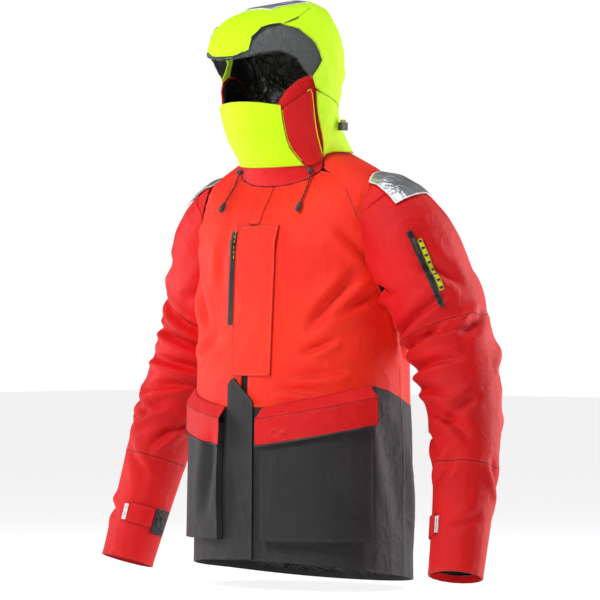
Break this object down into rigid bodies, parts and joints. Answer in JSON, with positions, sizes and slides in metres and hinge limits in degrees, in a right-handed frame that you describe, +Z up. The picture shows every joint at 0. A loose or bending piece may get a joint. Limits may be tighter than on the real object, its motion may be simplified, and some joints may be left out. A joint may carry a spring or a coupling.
{
  "type": "foul weather jacket",
  "caption": "Hooded offshore sailing jacket with a face mask, storm flap, zips, cargo pockets, cuff tabs and hanging drawcords.",
  "frame": {"origin": "middle of the hanger loop inside the back of the neck", "axes": "+Z up along the body, -Y out of the chest, +X to the wearer's left"},
  "size_m": [0.9394, 0.3943, 1.101],
  "materials": {
    "shell_orange": "fine woven laminate",
    "shell_red": "fine woven laminate",
    "hood_fluoro": "bright woven laminate",
    "skirt_charcoal": "matt woven laminate",
    "lining_black": "smooth lining",
    "zip_black": "moulded",
    "reflective": "glass bead tape",
    "clear_film": "clear flexible film",
    "yellow_trim": "woven tape",
    "cord": "braided, black with orange flecks",
    "rubber_black": "moulded"
  },
  "bodies": {
    "jacket": {"front_panel_left": "shell_orange", "front_panel_right": "shell_orange", "back_panel": "shell_orange", "shoulder_yoke": "shell_orange", "skirt_front_left": "skirt_charcoal", "skirt_front_right": "skirt_charcoal", "skirt_back": "skirt_charcoal", "placket_strip": "skirt_charcoal", "cargo_pocket_left": "skirt_charcoal", "cargo_pocket_right": "skirt_charcoal", "sleeve_upper_left": "shell_red", "sleeve_upper_right": "shell_red", "sleeve_elbow_left": "shell_red", "sleeve_elbow_right": "shell_red", "sleeve_forearm_left": "shell_red", "sleeve_forearm_right": "shell_red", "collar": "shell_red", "hood_neck": "hood_fluoro", "body_lining": "lining_black", "collar_lining": "lining_black", "inner_cuff_left": "lining_black", "inner_cuff_right": "lining_black", "cuff_gusset_left": "lining_black", "cuff_gusset_right": "lining_black", "hang_loop": "lining_black", "main_zip": "zip_black", "chest_zip": "zip_black", "arm_zip": "zip_black", "shoulder_reflector_left": "reflective", "shoulder_reflector_right": "reflective", "arm_zip_tape": "yellow_trim", "drawcord_left": "cord", "drawcord_right": "cord", "cord_end_left": "rubber_black", "cord_end_right": "rubber_black", "cord_eyelet_left": "rubber_black", "cord_eyelet_right": "rubber_black", "cord_lock": "rubber_black"},
    "hood": {"hood_peak": "hood_fluoro", "hood_back": "hood_fluoro", "hood_lining": "lining_black", "vision_window": "clear_film", "window_binding": "lining_black", "hood_reflector": "reflective"},
    "mask": {"face_mask": "hood_fluoro"},
    "cheek": {"cheek_flap": "shell_red"},
    "storm": {"storm_flap": "shell_orange"},
    "main_slider": {"main_zip_slider": "zip_black"},
    "chest_slider": {"chest_zip_slider": "zip_black"},
    "arm_slider": {"arm_zip_slider": "zip_black"},
    "flap_left": {"pocket_flap_left": "shell_red"},
    "flap_right": {"pocket_flap_right": "shell_red"},
    "tab_left": {"cuff_tab_left": "shell_red", "cuff_tab_grip_left": "reflective"},
    "tab_right": {"cuff_tab_right": "shell_red", "cuff_tab_grip_right": "reflective"},
    "lock_button": {"cord_lock_button": "yellow_trim"}
  },
  "joints": [
    {"name": "hood_tilt", "type": "hinge", "parent": "jacket", "child": "hood", "pos_m": [0, -0.0319, 0.082], "axis": [-1, 0, 0], "range_deg": [0, 85]},
    {"name": "face_mask_open", "type": "hinge", "parent": "jacket", "child": "mask", "pos_m": [0.082, -0.2049, 0.05], "axis": [-0.0265, -0.5305, 0.8473], "range_deg": [0, 95]},
    {"name": "cheek_flap_open", "type": "hinge", "parent": "jacket", "child": "cheek", "pos_m": [0.1135, -0.1439, 0.07], "axis": [0.0571, -0.3425, 0.9378], "range_deg": [0, 100]},
    {"name": "storm_flap_open", "type": "hinge", "parent": "jacket", "child": "storm", "pos_m": [0.065, -0.2244, -0.28], "axis": [0, 0.075, 0.9972], "range_deg": [0, 110]},
    {"name": "main_zip_slide", "type": "slide", "parent": "jacket", "child": "main_slider", "axis": [0, -0.0601, -0.9982], "range_m": [0, 0.156]},
    {"name": "chest_zip_slide", "type": "slide", "parent": "jacket", "child": "chest_slider", "axis": [0.003, -0.0514, -0.9987], "range_m": [0, 0.115]},
    {"name": "arm_zip_slide", "type": "slide", "parent": "jacket", "child": "arm_slider", "axis": [0.3326, 0.2339, -0.9136], "range_m": [0, 0.05]},
    {"name": "pocket_flap_left_open", "type": "hinge", "parent": "jacket", "child": "flap_left", "pos_m": [0.15692, -0.19459, -0.441], "axis": [-0.7978, -0.5685, -0.201], "range_deg": [0, 60]},
    {"name": "pocket_flap_right_open", "type": "hinge", "parent": "jacket", "child": "flap_right", "pos_m": [-0.15692, -0.19459, -0.441], "axis": [-0.7978, 0.5685, 0.201], "range_deg": [0, 60]},
    {"name": "cuff_tab_left_open", "type": "hinge", "parent": "jacket", "child": "tab_left", "pos_m": [0.3495, -0.1075, -0.6868], "axis": [0.129, -0.2621, -0.9564], "range_deg": [0, 110]},
    {"name": "cuff_tab_right_open", "type": "hinge", "parent": "jacket", "child": "tab_right", "pos_m": [-0.3495, -0.1075, -0.6868], "axis": [0.129, 0.2621, 0.9564], "range_deg": [0, 110]},
    {"name": "cord_lock_press", "type": "slide", "parent": "jacket", "child": "lock_button", "axis": [0, 0, -1], "range_m": [0, 0.003], "stiffness_N_per_m": 300, "springref_m": -0.001}
  ]
}
